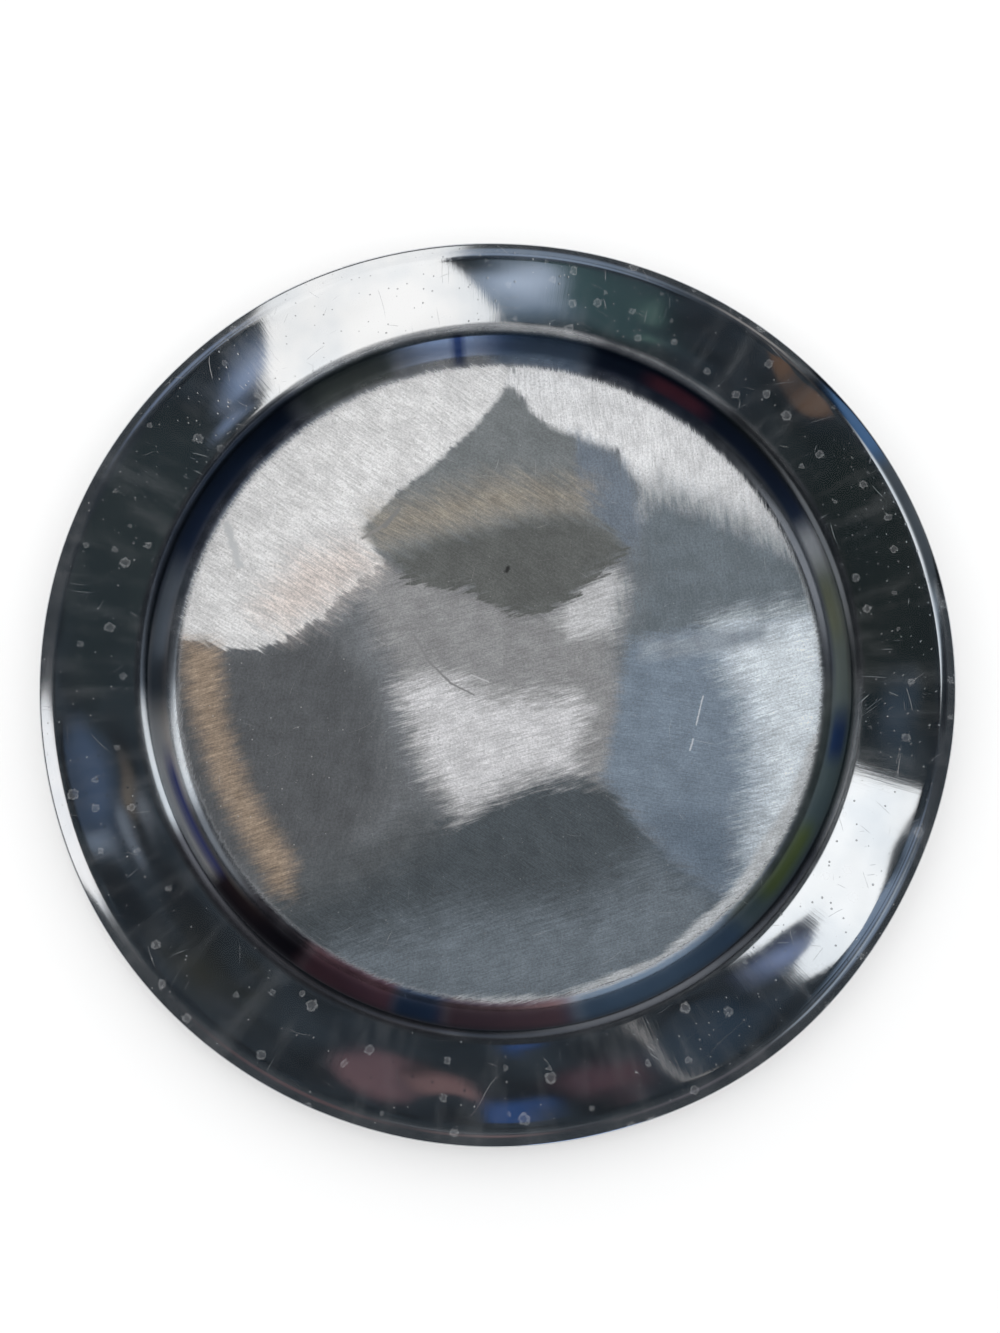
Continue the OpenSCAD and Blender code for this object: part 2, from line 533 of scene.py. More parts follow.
def share_at(azimuth, span, start, end, inner, outer, soft_turn, soft_span):
    """How much of a place on the face lies in a stretch of it.

    The share is the product of four eased steps, one at each end in degrees and in millimetres. A
    stretch of 360 degrees has no ends.
    """
    within = eased(span, inner - soft_span / 2, inner + soft_span / 2)
    within = within * (1 - eased(span, outer - soft_span / 2, outer + soft_span / 2))
    half = (end - start) / 2
    if half < 180:
        gap = np.abs((azimuth - start - half + 180) % 360 - 180)
        within = within * (1 - eased(gap, half - soft_turn / 2, half + soft_turn / 2))
    return within


def painted_reflection_tint(azimuth, span):
    """Painted reflection tint that dims the metal at each place: white, mixed with each tint by its share."""
    dim = np.ones((len(span), 4))
    for *stretch, tone in PAINTED_REFLECTION_TINTS:
        dim[:, :3] += (np.array(tone) - dim[:, :3]) * share_at(azimuth, span, *stretch)[:, None]
    return dim


def wear(azimuth, span):
    """How dull the polish is at each place: the most that any stretch of wear gives."""
    dull = np.zeros(len(span))
    for *stretch, amount in WEAR:
        dull = np.maximum(dull, amount * share_at(azimuth, span, *stretch))
    return dull


def reach_inside(x, y, outline):
    """Distance in millimetres to the nearest side of an outline, positive inside it.

    The distance to a side is that to its nearest point, found by the projection held between its
    ends. A point is inside when a ray to its right crosses the sides an odd number of times, and a
    level side is never crossed.
    """
    corners = np.array(outline, float)
    nearest = np.full(x.shape, np.inf)
    inside = np.zeros(x.shape, bool)
    for (x0, y0), (x1, y1) in zip(corners, np.roll(corners, -1, axis=0)):
        dx, dy = x1 - x0, y1 - y0
        t = np.clip(((x - x0) * dx + (y - y0) * dy) / (dx * dx + dy * dy), 0, 1)
        nearest = np.minimum(nearest, np.hypot(x - x0 - t * dx, y - y0 - t * dy))
        crosses = (y0 > y) != (y1 > y)
        side = x0 + (y - y0) * dx / (dy or 1.0)
        inside ^= crosses & (x < side)
    return np.where(inside, nearest, -nearest)


# Node wiring

# Noise lies mostly between these two.
NOISE_RANGE = (0.3, 0.7)


class Wiring:
    """Places nodes in a tree, one after another, and joins them."""

    def __init__(self, tree):
        self.tree = tree
        self.count = 0

    def node(self, kind, settings=None, **inputs):
        """A node of a kind with its settings; each input is a socket to join or a value to keep."""
        made = self.tree.nodes.new(kind)
        made.location = (220 * (self.count // 6), -190 * (self.count % 6))
        self.count += 1
        for name, value in (settings or {}).items():
            setattr(made, name, value)
        for name, value in inputs.items():
            self.feed(made, int(name[1:]) if name[0] == "i" and name[1:].isdigit() else name, value)
        return made

    def feed(self, node, name, value):
        """Joins a socket to an input, or gives the input its own value."""
        socket = node.inputs[name.replace("_", " ")] if isinstance(name, str) else node.inputs[name]
        if isinstance(value, bpy.types.NodeSocket):
            self.tree.links.new(value, socket)
        elif value is not None:
            socket.default_value = value

    def math(self, operation, a, b=None, clamp=False):
        """One step of arithmetic."""
        made = self.node("ShaderNodeMath", {"operation": operation, "use_clamp": clamp}, i0=a, i1=b)
        return made.outputs[0]

    def vector(self, operation, a, b=None, scale=None):
        """One step of vector arithmetic."""
        second = {"Scale": scale} if operation == "SCALE" else {"i1": b}
        made = self.node("ShaderNodeVectorMath", {"operation": operation}, i0=a, **second)
        return made.outputs["Value" if operation in ("LENGTH", "DOT_PRODUCT", "DISTANCE") else "Vector"]

    def spread(self, value, low, high, to_low=0.0, to_high=1.0, smooth=True):
        """value's place between low and high, eased, as a number from to_low to to_high."""
        made = self.node(
            "ShaderNodeMapRange",
            {"interpolation_type": "SMOOTHSTEP" if smooth else "LINEAR"},
            Value=value, From_Min=low, From_Max=high, To_Min=to_low, To_Max=to_high,
        )
        return made.outputs["Result"]

    def blend(self, factor, a, b):
        """a and b mixed as numbers."""
        made = self.node("ShaderNodeMix", {"data_type": "FLOAT"}, i0=factor, i2=a, i3=b)
        return made.outputs[0]

    def tint(self, factor, a, b, how="MIX"):
        """a and b mixed as colours."""
        made = self.node("ShaderNodeMix", {"data_type": "RGBA", "blend_type": how}, i0=factor, i6=a, i7=b)
        return made.outputs[2]

    def noise(self, vector, scale=1.0, detail=2.0, roughness=0.5, dimensions="2D", output="Fac"):
        """Noise from 0 to 1 about a half, read in X and Y alone unless told otherwise."""
        made = self.node(
            "ShaderNodeTexNoise", {"noise_dimensions": dimensions},
            Vector=vector, Scale=scale, Detail=detail, Roughness=roughness,
        )
        return made.outputs[output]

    def combine(self, x=0.0, y=0.0, z=0.0):
        """Three numbers as a vector."""
        return self.node("ShaderNodeCombineXYZ", X=x, Y=y, Z=z).outputs[0]

    def millimetres(self):
        """Place on the piece in millimetres, in its own coordinates."""
        place = self.node("ShaderNodeTexCoord").outputs["Object"]
        return self.vector("SCALE", place, scale=1 / MM)

    def attribute(self, name, output="Fac"):
        """A number, or a colour, that the mesh keeps at each vertex."""
        return self.node("ShaderNodeAttribute", {"attribute_name": name}).outputs[output]

    def varied(self, noise, low=0.0, high=1.0):
        """A number from low to high, eased, that follows a noise."""
        return self.spread(noise, *NOISE_RANGE, low, high)

    def marked(self, tone, mark, strength, mark_colour):
        """tone with a mark over it in a colour of its own, at a strength from 0 to 1."""
        return self.tint(self.math("MULTIPLY", mark, strength), tone, (*mark_colour, 1.0))

    def flat(self, place):
        """Place with its height taken off."""
        return self.vector("MULTIPLY", place, (1.0, 1.0, 0.0))

    def bent(self, place, reach, scale, detail=1.0):
        """Place moved aside by broad noise, by up to half of reach each way."""
        shift = self.noise(place, scale=scale, detail=detail, output="Color")
        shift = self.vector("SCALE", self.vector("SUBTRACT", shift, (0.5, 0.5, 0.5)), scale=reach)
        return self.vector("ADD", place, shift)

    def turned(self, place, degrees):
        """Place turned about Z so that X runs along strokes at that angle."""
        back = self.math("MULTIPLY", degrees, -math.pi / 180)
        made = self.node("ShaderNodeVectorRotate", {"rotation_type": "Z_AXIS"}, Vector=place, Angle=back)
        return made.outputs[0]


def new_group(name, inputs, outputs):
    """An empty shader group with named sockets, given as (name, kind, default)."""
    tree = bpy.data.node_groups.new(name, "ShaderNodeTree")
    for socket, kind, default in inputs:
        made = tree.interface.new_socket(socket, in_out="INPUT", socket_type="NodeSocket" + kind)
        made.default_value = default
    for socket, kind in outputs:
        tree.interface.new_socket(socket, in_out="OUTPUT", socket_type="NodeSocket" + kind)
    wiring = Wiring(tree)
    return tree, wiring, wiring.node("NodeGroupInput").outputs, wiring.node("NodeGroupOutput")


# How far the strokes fray a soft border, as a share of its softness.
FRAY = 0.3


def brushed_patch_group():
    """Lays one brushed patch over those before it.

    The patch's reach is moved by the tips of its strokes and, where its border is soft, by the
    strokes themselves, so one patch frays into the next. The eased border mixes colour, roughness
    and strokes.
    """
    tree, w, given, result = new_group(
        "brushed_patch",
        (
            ("Reach", "Float", 0.0), ("Jag", "Float", 4.0), ("Softness", "Float", 1.0),
            ("Patch tips", "Float", 0.0), ("Patch strokes", "Float", 0.5),
            ("Patch colour", "Color", (1, 1, 1, 1)), ("Patch roughness", "Float", 0.3),
            ("Strokes", "Float", 0.5), ("Colour", "Color", (1, 1, 1, 1)), ("Roughness", "Float", 0.3),
        ),
        (("Strokes", "Float"), ("Colour", "Color"), ("Roughness", "Float")),
    )
    fray = w.math("MULTIPLY", w.math("SUBTRACT", given["Patch strokes"], 0.5), given["Softness"])
    fray = w.math("MULTIPLY", fray, FRAY)
    reach = w.math("ADD", given["Reach"], w.math("MULTIPLY", given["Patch tips"], given["Jag"]))
    reach = w.math("ADD", reach, fray)
    edge = w.math("MULTIPLY", given["Softness"], 0.5)
    mask = w.spread(reach, w.math("MULTIPLY", edge, -1.0), edge)
    w.feed(result, "Strokes", w.blend(mask, given["Strokes"], given["Patch strokes"]))
    w.feed(result, "Colour", w.tint(mask, given["Colour"], given["Patch colour"]))
    w.feed(result, "Roughness", w.blend(mask, given["Roughness"], given["Patch roughness"]))
    return tree


# Waves per millimetre along and across the strokes: of single hairs, of the marks of the whole brush,
# and of the fine and the broad line in which the strokes end. Then the hairs' share of the strokes,
# the span in which the sum of both lies, and how much further the fine line reaches.
HAIRS, MARKS = (0.22, 2.6, 0.0), (0.08, 0.95, 0.0)
FINE_TIPS, BROAD_TIPS = (0.10, 0.50, 0.0), (0.04, 0.25, 0.0)
HAIRS_SHARE, STROKES_RANGE, FINE_REACH = 0.6, (0.32, 0.68), 2.0


def brush_strokes_group():
    """Brush strokes that run along a heading, and the ragged line in which their tips end.

    Both are sums of noises stretched along the strokes. The place is first bent a little by broad
    noise, because a hand-held brush never runs straight.
    """
    tree, w, given, result = new_group(
        "brush_strokes",
        (("Heading", "Float", 0.0), ("Waver", "Float", 2.5)),
        (("Strokes", "Float"), ("Tips", "Float")),
    )
    strokes = w.turned(w.bent(w.millimetres(), given["Waver"], scale=0.03), given["Heading"])
    hairs = w.noise(w.vector("MULTIPLY", strokes, HAIRS), detail=2.0, roughness=0.7)
    marks = w.noise(w.vector("MULTIPLY", strokes, MARKS), detail=1.0, roughness=0.6)
    w.feed(result, "Strokes", w.spread(w.blend(HAIRS_SHARE, marks, hairs), *STROKES_RANGE, smooth=False))
    fine = w.noise(w.vector("MULTIPLY", strokes, FINE_TIPS), detail=3.0, roughness=0.6)
    broad = w.noise(w.vector("MULTIPLY", strokes, BROAD_TIPS), detail=1.0)
    tips = w.math("MULTIPLY", w.math("SUBTRACT", fine, 0.5), FINE_REACH)
    w.feed(result, "Tips", w.math("ADD", tips, w.math("SUBTRACT", broad, 0.5)))
    return tree


def cells(w, place, spacing):
    """Cells of a spacing in millimetres: the chances of each, and how far its middle is away."""
    made = w.node(
        "ShaderNodeTexVoronoi", {"feature": "F1", "voronoi_dimensions": "2D"},
        Vector=w.vector("SCALE", place, scale=w.math("DIVIDE", 1.0, spacing)), Scale=1.0, Randomness=1.0,
    )
    chances = w.node("ShaderNodeSeparateColor", i0=made.outputs["Color"]).outputs
    return chances, w.math("MULTIPLY", made.outputs["Distance"], spacing)


# Water spots: how far and how finely noise bends their edges, the smallest and the largest as shares
# of their radius, and where ring and dull middle fade, as shares of the spot's own radius.
SPOT_BEND, SPOT_BEND_SCALE, SPOT_SIZES = 1.8, 1.1, (0.35, 1.25)
RING_INSIDE, RING_OUTSIDE, DULL_OUTSIDE = (0.62, 0.9), (1.18, 0.98), (1.08, 0.92)


def water_spots_group():
    """Rings and dull middles of dried water drops, in some of the cells of a Voronoi pattern."""
    tree, w, given, result = new_group(
        "water_spots",
        (("Spacing", "Float", 13.0), ("Radius", "Float", 1.3), ("Share", "Float", 0.3)),
        (("Ring", "Float"), ("Dull", "Float")),
    )
    place = w.flat(w.bent(w.millimetres(), SPOT_BEND, SPOT_BEND_SCALE, detail=2.0))
    chances, away = cells(w, place, given["Spacing"])
    size = w.spread(chances[1], 0.0, 1.0, *SPOT_SIZES, smooth=False)
    radius = w.math("MULTIPLY", given["Radius"], size)
    ratio = w.math("DIVIDE", away, radius)
    there = w.math("LESS_THAN", chances[0], given["Share"])
    ring = w.math("MULTIPLY", w.spread(ratio, *RING_INSIDE), w.spread(ratio, *RING_OUTSIDE))
    dull = w.spread(ratio, *DULL_OUTSIDE)
    w.feed(result, "Ring", w.math("MULTIPLY", ring, there))
    w.feed(result, "Dull", w.math("MULTIPLY", dull, there))
    return tree


# Scratches: how far and how finely noise bends them, their headings in degrees, each with a shift
# that reads other noise, the waves per millimetre along and across them, the noise from which they
# start at no amount and at the whole amount, and the noise within which they set in.
SCRATCH_BEND, SCRATCH_BEND_SCALE = 30.0, 0.02
SCRATCH_HEADINGS, SCRATCH_WAVES = ((0.0, 0.0), (67.0, 31.0), (131.0, 77.0)), (0.055, 2.6, 0.0)
SCRATCH_START, SCRATCH_SOFT = (0.86, 0.66), 0.05


def scratches_group():
    """Sparse thin scratches: noise stretched along three headings, of which only the crests are kept."""
    tree, w, given, result = new_group(
        "scratches", (("Amount", "Float", 0.5), ("Heading", "Float", 20.0)), (("Scratch", "Float"),)
    )
    place = w.bent(w.millimetres(), SCRATCH_BEND, SCRATCH_BEND_SCALE)
    low = w.spread(given["Amount"], 0.0, 1.0, *SCRATCH_START, smooth=False)
    total = None
    for turn, offset in SCRATCH_HEADINGS:
        heading = w.math("ADD", given["Heading"], turn)
        lines = w.turned(w.vector("ADD", place, (offset, offset, 0.0)), heading)
        crest = w.noise(w.vector("MULTIPLY", lines, SCRATCH_WAVES), detail=1.0)
        line = w.spread(crest, low, w.math("ADD", low, SCRATCH_SOFT))
        total = line if total is None else w.math("MAXIMUM", total, line)
    w.feed(result, "Scratch", total)
    return tree


# Pits: the smallest and the largest as shares of their radius, and the share of it that is deepest.
PIT_SIZES, PIT_CORE = (0.5, 1.3), 0.4


def pits_group():
    """Tiny dark pits: the middles of some cells of a small Voronoi pattern."""
    tree, w, given, result = new_group(
        "pits",
        (("Spacing", "Float", 3.2), ("Radius", "Float", 0.3), ("Share", "Float", 0.25)),
        (("Pit", "Float"),),
    )
    chances, away = cells(w, w.flat(w.millimetres()), given["Spacing"])
    size = w.spread(chances[2], 0.0, 1.0, *PIT_SIZES, smooth=False)
    radius = w.math("MULTIPLY", given["Radius"], size)
    there = w.math("LESS_THAN", chances[0], given["Share"])
    pit = w.spread(away, radius, w.math("MULTIPLY", radius, PIT_CORE))
    w.feed(result, "Pit", w.math("MULTIPLY", pit, there))
    return tree


# Scuffs: how finely noise bends them, and the share of their width that shows whole.
SCUFF_BEND_SCALE, SCUFF_CORE = 0.5, 0.2


def scuff_group():
    """One thin mark: the distance to the nearest point of a line between two places on the floor."""
    tree, w, given, result = new_group(
        "scuff",
        (("From", "Vector", (0, 0, 0)), ("To", "Vector", (1, 0, 0)), ("Width", "Float", 0.6)),
        (("Mark", "Float"),),
    )
    place = w.flat(w.bent(w.millimetres(), given["Width"], SCUFF_BEND_SCALE))
    away = w.vector("SUBTRACT", place, given["From"])
    line = w.vector("SUBTRACT", given["To"], given["From"])
    square = w.vector("DOT_PRODUCT", line, line)
    t = w.math("DIVIDE", w.vector("DOT_PRODUCT", away, line), square, clamp=True)
    gap = w.vector("DISTANCE", away, w.vector("SCALE", line, scale=t))
    w.feed(result, "Mark", w.spread(gap, given["Width"], w.math("MULTIPLY", given["Width"], SCUFF_CORE)))
    return tree


# Waves per millimetre outward of the rim's lines and of its smears, and how fine the smears are.
LINES_OUTWARD, SMEARS_OUTWARD, SMEARS_FINENESS = 0.06, 0.03, 14.0


def rim_lines_group():
    """Fine polishing lines that run out across the rim from the middle, and broad smears among them.

    The noise is read at the unit direction from the middle, so it has no seam, and hardly changes
    along the radius.
    """
    tree, w, given, result = new_group(
        "rim_lines", (("Fineness", "Float", 160.0),), (("Height", "Float"), ("Smear", "Float"))
    )
    place = w.flat(w.millimetres())
    radius = w.vector("LENGTH", place)
    heading = w.vector("NORMALIZE", place)
    outward = w.combine(z=w.math("MULTIPLY", radius, LINES_OUTWARD))
    lines = w.vector("ADD", w.vector("SCALE", heading, scale=given["Fineness"]), outward)
    outward = w.combine(z=w.math("MULTIPLY", radius, SMEARS_OUTWARD))
    broad = w.vector("ADD", w.vector("SCALE", heading, scale=SMEARS_FINENESS), outward)
    w.feed(result, "Height", w.noise(lines, detail=3.0, roughness=0.7, dimensions="3D"))
    w.feed(result, "Smear", w.noise(broad, detail=3.0, roughness=0.6, dimensions="3D"))
    return tree


GROUPS = {
    "brushed_patch": brushed_patch_group,
    "brush_strokes": brush_strokes_group,
    "water_spots": water_spots_group,
    "scratches": scratches_group,
    "pits": pits_group,
    "scuff": scuff_group,
    "rim_lines": rim_lines_group,
}


def shared(w, name, **inputs):
    """One of the shared effects, placed in a material with its own values."""
    tree = bpy.data.node_groups.get(name) or GROUPS[name]()
    made = w.node("ShaderNodeGroup", {"node_tree": tree, "label": name}, **inputs)
    return made.outputs


def empty_material(name):
    """A material with an empty tree, and the wiring to fill it."""
    material = bpy.data.materials.new(name)
    material.use_nodes = True
    material.node_tree.nodes.clear()
    return material, Wiring(material.node_tree)


def new_material(name):
    """A material with its Principled shader, set to metal, and the wiring to fill it."""
    material, w = empty_material(name)
    shader = w.node("ShaderNodeBsdfPrincipled")
    out = w.node("ShaderNodeOutputMaterial", Surface=shader.outputs[0])
    out.location, shader.location = (2400, 0), (2100, 0)
    w.feed(shader, "Metallic", 1.0)
    return material, w, shader


# Marks on the face and on the back, as the values that each gives to its shared effect.
FACE_SCRATCHES, BACK_SCRATCHES = {"Amount": 0.2, "Heading": 25.0}, {"Amount": 0.6, "Heading": 70.0}
FACE_SPOTS = {"Spacing": 11.0, "Radius": 1.3, "Share": 0.6}
BACK_SPOTS = {"Spacing": 17.0, "Radius": 1.6, "Share": 0.2}
SPECKS, BACK_PITS = {"Spacing": 5.0, "Radius": 0.28, "Share": 0.3}, {"Spacing": 4.0, "Share": 0.2}
RIM_FINENESS = 150.0
# How strongly pits show on the floor, on the rim and on the back, and their colour there.
PITS_ON_FLOOR = (0.5, (0.20, 0.19, 0.18))
PITS_ON_RIM = (0.35, (0.35, 0.34, 0.33))
PITS_ON_BACK = (0.5, (0.22, 0.21, 0.20))
# Depth of scratches and of pits in the face, as shares of the strokes' depth.
SCRATCH_DEPTH, PIT_DEPTH = 0.05, 0.15

# A dark and a bright tone of the floor, the contrast of the strokes on each, and how much contrast a
# tone gains as its red passes its blue.
DARK_TONE, BRIGHT_TONE, STROKE_CONTRAST, WARM_CONTRAST = 0.12, 0.55, (0.18, 0.38), 2.6
# How far broad passes of the brush and fine grain vary the floor's tone, and what the strokes add to
# its roughness, from their lowest to their highest.
PASSES_VARY, GRAIN_VARIES, STROKES_ROUGHEN = (0.90, 1.10), (0.84, 1.16), (-0.03, 0.04)
# Flecks on the floor: how strongly scratches show, how strongly specks do outside and inside the
# patch left_dark, the reach into that patch between the two, in millimetres, and their colour.
SCRATCH_FLECKS, SPECK_FLECKS, SPECK_REACH, FLECK = 0.35, (0.20, 0.45), (-4.0, 10.0), (0.70, 0.69, 0.68)

# Clouds in the polish: the noise between which they set in, and their colour.
CLOUD_START, CLOUDED = (0.35, 0.7), (0.70, 0.73, 0.77)
# Smears in the polish: the noise between which they set in, and the roughness that they add.
SMEAR_START, SMEARS_ROUGHEN = (0.45, 0.75), (0.0, 0.015)
# Roughness that is added by scratches, all over the well wall, and from the lip's bend on.
SCRATCHES_ROUGHEN, WELL_ROUGHNESS, LIP_ROUGHNESS = 0.04, 0.18, (0.0, 0.08)
# Chalky film on the polish, as the share that it takes from the mirror: in the ring and over the
# whole of a water spot, outside and inside smears, and in nicks, which are scratches and specks.
# Then how far the grain varies all but the nicks.
RING_CHALK, SPOT_CHALK, SMEAR_CHALK, NICK_CHALK = 0.11, 0.05, (0.008, 0.04), 0.25
CHALK_VARIES = (0.8, 1.2)
# How far broad passes vary the wear.
WEAR_VARIES = (0.7, 1.3)


def brushed_floor(w, marks):
    """Colour and roughness of the floor, and the strokes that it is brushed in.

    Each patch is laid over those before it, with its sheen painted into its colour. The colour is
    scaled by the strokes, by broad passes of the brush and by grain; pits, flecks and scuffs lie over it.
    """
    headings = {
        heading: shared(w, "brush_strokes", Heading=float(heading))
        for heading in (LEVEL, DIPPING, UPRIGHT, LEFTWARD, FALLING)
    }
    strokes, tone, rough = headings[GROUND_HEADING]["Strokes"], (*GROUND_TONE, 1.0), GROUND_ROUGHNESS
    # Painted sheen: each patch's colour stands in for how brightly its strokes mirror the light.
    for name, _, heading, jag, soft, patch_colour, patch_rough in PATCHES:
        laid = shared(
            w, "brushed_patch",
            Reach=w.attribute(name), Jag=jag, Softness=soft,
            Patch_tips=headings[heading]["Tips"], Patch_strokes=headings[heading]["Strokes"],
            Patch_colour=(*patch_colour, 1.0), Patch_roughness=patch_rough,
            Strokes=strokes, Colour=tone, Roughness=rough,
        )
        strokes, tone, rough = laid["Strokes"], laid["Colour"], laid["Roughness"]
    parts = w.node("ShaderNodeSeparateColor", i0=tone).outputs
    warmth = w.math("MAXIMUM", w.math("SUBTRACT", parts["Red"], parts["Blue"]), 0.0)
    contrast = w.spread(parts["Red"], DARK_TONE, BRIGHT_TONE, *STROKE_CONTRAST)
    contrast = w.math("ADD", contrast, w.math("MULTIPLY", warmth, WARM_CONTRAST))
    streak = w.math("ADD", w.math("MULTIPLY", w.math("SUBTRACT", strokes, 0.5), contrast), 1.0)
    streak = w.math("MULTIPLY", streak, w.varied(marks["passes"], *PASSES_VARY))
    streak = w.math("MULTIPLY", streak, w.varied(marks["grain"], *GRAIN_VARIES))
    brushed = w.marked(w.vector("SCALE", tone, scale=streak), marks["pit"], *PITS_ON_FLOOR)
    specks = w.spread(w.attribute("left_dark"), *SPECK_REACH, *SPECK_FLECKS)
    flecks = w.math("MULTIPLY", marks["speck"], specks)
    flecks = w.math("MAXIMUM", w.math("MULTIPLY", marks["scratch"], SCRATCH_FLECKS), flecks)
    brushed = w.tint(flecks, brushed, (*FLECK, 1.0))
    for start, end, width, mark_colour in SCUFFS:
        scuff = shared(w, "scuff", From=(*start, 0.0), To=(*end, 0.0), Width=width)["Mark"]
        brushed = w.tint(scuff, brushed, (*mark_colour, 1.0))
    return brushed, w.math("ADD", rough, w.spread(strokes, 0.0, 1.0, *STROKES_ROUGHEN)), strokes


def polished_metal(w, finish, span, marks, smear):
    """Colour, share that mirrors, and roughness of the well wall, the rim and the lip.

    Clouds and pits colour the polish; painted reflections and painted shade tint and dim it, and
    painted shade darkens the lip's edge. A chalky film takes from its mirror, and where it is worn it
    turns into a dull skin.
    """
    cloud = w.noise(w.millimetres(), scale=0.035, detail=3.0)
    polished = w.tint(w.spread(cloud, *CLOUD_START), (*finish.metal, 1.0), (*CLOUDED, 1.0))
    polished = w.marked(polished, marks["pit"], *PITS_ON_RIM)
    # Painted reflections and painted shade: the tint kept on the mesh dims and tints the metal's colour.
    polished = w.tint(1.0, polished, w.attribute("painted_reflection_tint", "Color"), "MULTIPLY")
    # Painted shade: the lip's edge turns dark, standing in for a dark reflection instead of the floor's.
    polished = w.tint(w.spread(span, *LIP_EDGE), polished, (*finish.lip_edge_painted_shade, 1.0))

    well = w.math("MULTIPLY", w.spread(span, *CORNER_START), w.spread(span, *CORNER_END))
    rough = w.math("ADD", w.spread(smear, *SMEAR_START, *SMEARS_ROUGHEN), finish.polish)
    rough = w.math("ADD", rough, w.math("MULTIPLY", marks["scratch"], SCRATCHES_ROUGHEN))
    rough = w.math("ADD", rough, w.math("MULTIPLY", well, WELL_ROUGHNESS))
    rough = w.math("ADD", rough, w.spread(span, *LIP_START, *LIP_ROUGHNESS))

    spots = shared(w, "water_spots", **FACE_SPOTS)
    chalk = w.math("MULTIPLY", spots["Ring"], RING_CHALK)
    chalk = w.math("ADD", chalk, w.math("MULTIPLY", spots["Dull"], SPOT_CHALK))
    chalk = w.math("ADD", chalk, w.spread(smear, *SMEAR_START, *SMEAR_CHALK))
    chalk = w.math("MULTIPLY", chalk, w.varied(marks["grain"], *CHALK_VARIES))
    nicks = w.math("MAXIMUM", marks["scratch"], marks["speck"])
    chalk = w.math("ADD", chalk, w.math("MULTIPLY", nicks, NICK_CHALK))
    chalk = w.math("MULTIPLY", chalk, w.math("SUBTRACT", 1.0, well))

    worn = w.varied(marks["passes"], *WEAR_VARIES)
    worn = w.math("MULTIPLY", w.attribute("wear"), worn, clamp=True)
    polished = w.tint(worn, polished, (*DULL_METAL, 1.0))
    metallic = w.blend(worn, w.math("SUBTRACT", 1.0, chalk), DULL_METALLIC)
    return polished, metallic, w.blend(worn, rough, DULL_ROUGHNESS)


def face_material(finish):
    """Polished rim and lip, and the floor brushed in patches, up to where its bend starts."""
    material, w, shader = new_material("polished_and_brushed_face")
    span = w.attribute("span")
    place = w.millimetres()
    # Marks and noises that the brushed floor and the polish share
    marks = {
        "scratch": shared(w, "scratches", **FACE_SCRATCHES)["Scratch"],
        "pit": shared(w, "pits")["Pit"],
        "speck": shared(w, "pits", **SPECKS)["Pit"],
        "passes": w.noise(place, scale=0.10, detail=4.0, roughness=0.7),
        "grain": w.noise(place, scale=1.3, detail=3.0, roughness=0.75),
    }
    lines = shared(w, "rim_lines", Fineness=RIM_FINENESS)
    brushed, brushed_rough, strokes = brushed_floor(w, marks)
    polished, metallic, polished_rough = polished_metal(w, finish, span, marks, lines["Smear"])

    ragged = w.math("MULTIPLY", w.math("SUBTRACT", strokes, 0.5), SATIN_RAGGED)
    satin = w.spread(w.math("ADD", span, ragged), SATIN_EDGE + SATIN_RAGGED, SATIN_EDGE - SATIN_RAGGED)
    w.feed(shader, "Base Color", w.tint(satin, polished, brushed))
    w.feed(shader, "Metallic", w.blend(satin, metallic, BRUSHED_METALLIC))
    w.feed(shader, "Roughness", w.blend(satin, polished_rough, brushed_rough))

    rim_height = w.math("MULTIPLY", lines["Height"], finish.haze_depth / finish.stroke_depth)
    height = w.blend(satin, rim_height, strokes)
    height = w.math("SUBTRACT", height, w.math("MULTIPLY", marks["scratch"], SCRATCH_DEPTH))
    height = w.math("SUBTRACT", height, w.math("MULTIPLY", marks["pit"], PIT_DEPTH))
    bump = w.node("ShaderNodeBump", Strength=1.0, Distance=finish.stroke_depth, Height=height)
    w.feed(shader, "Normal", bump.outputs["Normal"])
    return material


# The back: waves per millimetre of its spun rings and how far they vary its tone, the colour of its
# clouds, its roughness with and without clouds, what the rings of water spots and scratches add to
# that, the depth of the rings in metres and of scratches as a share of it.
BACK_RINGS, BACK_RINGS_VARY, BACK_CLOUDED = 1.4, (0.86, 1.08), (0.50, 0.505, 0.51)
BACK_ROUGHNESS, BACK_SPOTS_ROUGHEN, BACK_SCRATCHES_ROUGHEN = (0.26, 0.36), 0.12, -0.08
BACK_RING_DEPTH, BACK_SCRATCH_DEPTH = 0.03 * MM, 0.4


def back_material(finish):
    """Plain back, spun smooth: rings round the middle, a dull skin and a few scratches."""
    material, w, shader = new_material("spun_back")
    place = w.flat(w.millimetres())
    radius = w.vector("LENGTH", place)
    rings = w.noise(w.combine(x=w.math("MULTIPLY", radius, BACK_RINGS)), detail=3.0, roughness=0.7)
    cloud = w.noise(place, scale=0.03, detail=4.0)
    scratch = shared(w, "scratches", **BACK_SCRATCHES)["Scratch"]
    spots = shared(w, "water_spots", **BACK_SPOTS)
    pit = shared(w, "pits", **BACK_PITS)["Pit"]
    dull = w.tint(w.varied(cloud), (*finish.back_metal, 1.0), (*BACK_CLOUDED, 1.0))
    dull = w.vector("SCALE", dull, scale=w.varied(rings, *BACK_RINGS_VARY))
    w.feed(shader, "Base Color", w.marked(dull, pit, *PITS_ON_BACK))
    rough = w.varied(cloud, *BACK_ROUGHNESS)
    rough = w.math("ADD", rough, w.math("MULTIPLY", spots["Ring"], BACK_SPOTS_ROUGHEN))
    rough = w.math("ADD", rough, w.math("MULTIPLY", scratch, BACK_SCRATCHES_ROUGHEN))
    w.feed(shader, "Roughness", rough)
    height = w.math("SUBTRACT", rings, w.math("MULTIPLY", scratch, BACK_SCRATCH_DEPTH))
    bump = w.node("ShaderNodeBump", Strength=1.0, Distance=BACK_RING_DEPTH, Height=height)
    w.feed(shader, "Normal", bump.outputs["Normal"])
    return material


# The piece


